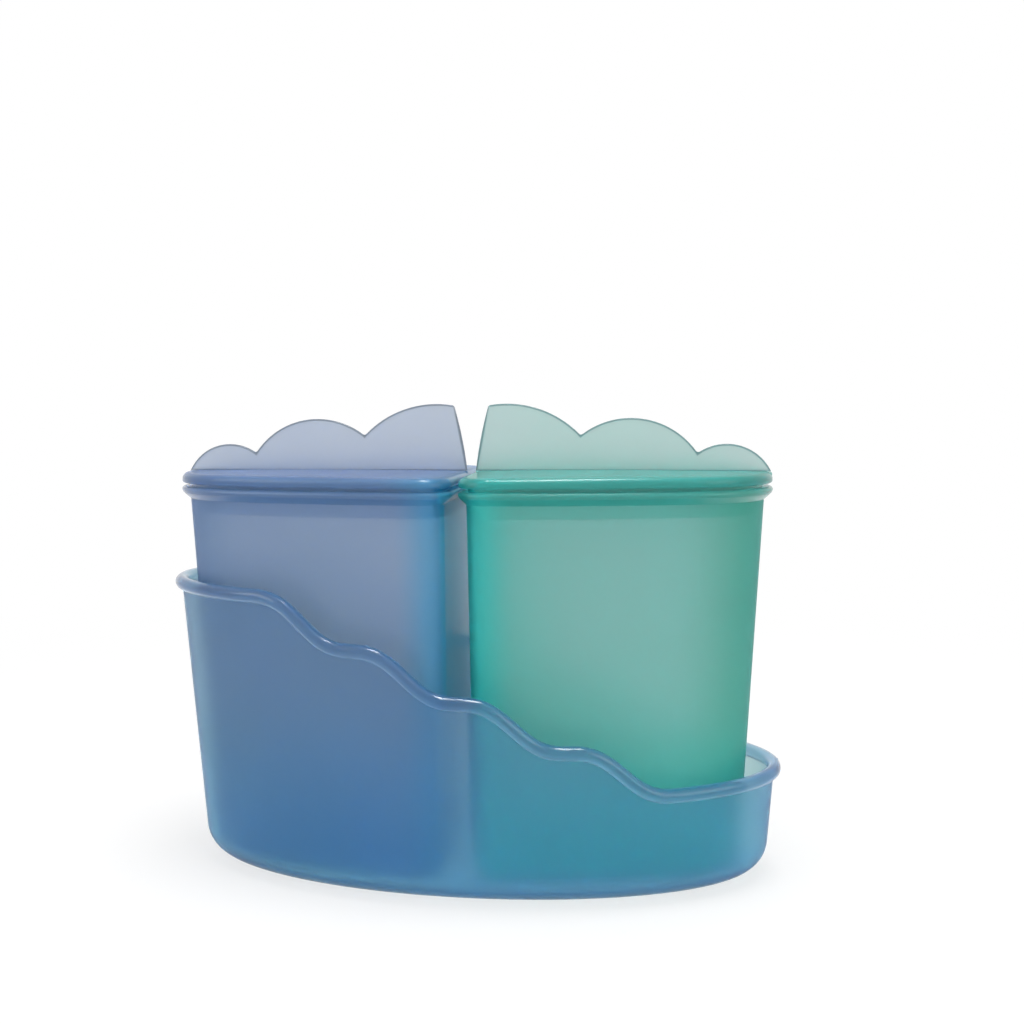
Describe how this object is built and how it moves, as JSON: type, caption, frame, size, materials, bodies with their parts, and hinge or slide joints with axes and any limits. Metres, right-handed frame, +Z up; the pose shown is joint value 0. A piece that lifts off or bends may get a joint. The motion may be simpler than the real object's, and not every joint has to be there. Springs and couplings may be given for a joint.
{
  "type": "spice container",
  "caption": "Oval tray with a wavy stepped rim holding half-oval lidded canisters side by side, each lid with an upright cloud-shaped grip sheet.",
  "frame": {"origin": "middle of the overall width and depth, on the surface that the tray stands on", "axes": "+Z up, +X along the tray from its high end to its low end, +Y to the back"},
  "size_m": [0.1984, 0.0938, 0.1503],
  "materials": {
    "blue_translucent_plastic": "frosted, translucent",
    "lavender_translucent_plastic": "frosted, translucent",
    "aqua_translucent_plastic": "frosted, translucent"
  },
  "bodies": {
    "tray": {"caddy_tray": "blue_translucent_plastic"},
    "left_canister_body": {"left_canister": "lavender_translucent_plastic"},
    "left_lid_body": {"left_lid": "lavender_translucent_plastic"},
    "right_canister_body": {"right_canister": "aqua_translucent_plastic"},
    "right_lid_body": {"right_lid": "aqua_translucent_plastic"}
  },
  "joints": [
    {"name": "left_canister_lift", "type": "slide", "parent": "tray", "child": "left_canister_body", "axis": [0, 0, 1], "range_m": [0, 0.1]},
    {"name": "left_lid_lift", "type": "slide", "parent": "left_canister_body", "child": "left_lid_body", "axis": [0, 0, 1], "range_m": [0, 0.02]},
    {"name": "right_canister_lift", "type": "slide", "parent": "tray", "child": "right_canister_body", "axis": [0, 0, 1], "range_m": [0, 0.1]},
    {"name": "right_lid_lift", "type": "slide", "parent": "right_canister_body", "child": "right_lid_body", "axis": [0, 0, 1], "range_m": [0, 0.02]}
  ]
}
